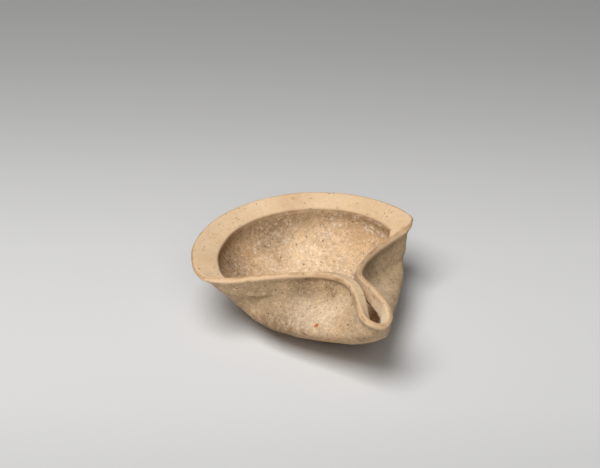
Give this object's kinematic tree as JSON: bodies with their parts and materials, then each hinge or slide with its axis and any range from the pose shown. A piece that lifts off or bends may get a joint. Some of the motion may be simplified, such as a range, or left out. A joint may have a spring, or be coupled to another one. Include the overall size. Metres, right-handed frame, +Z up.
{
  "type": "saucer oil lamp",
  "caption": "Unglazed terracotta oil lamp: a shallow saucer with a broad flat rim, its front folded in from both sides into a narrow open wick nozzle.",
  "frame": {"origin": "on the flat underside that the lamp rests on, under the middle of the bowl", "axes": "+Z up out of the bowl, the nozzle points along -Y, +X to the lamp's right seen with the nozzle towards the viewer"},
  "size_m": [0.1296, 0.1448, 0.0489],
  "materials": {
    "terracotta": "matte, unglazed, pale buff clay, slightly gritty, with light wear"
  },
  "bodies": {
    "root": {"lamp_body": "terracotta"}
  },
  "joints": []
}
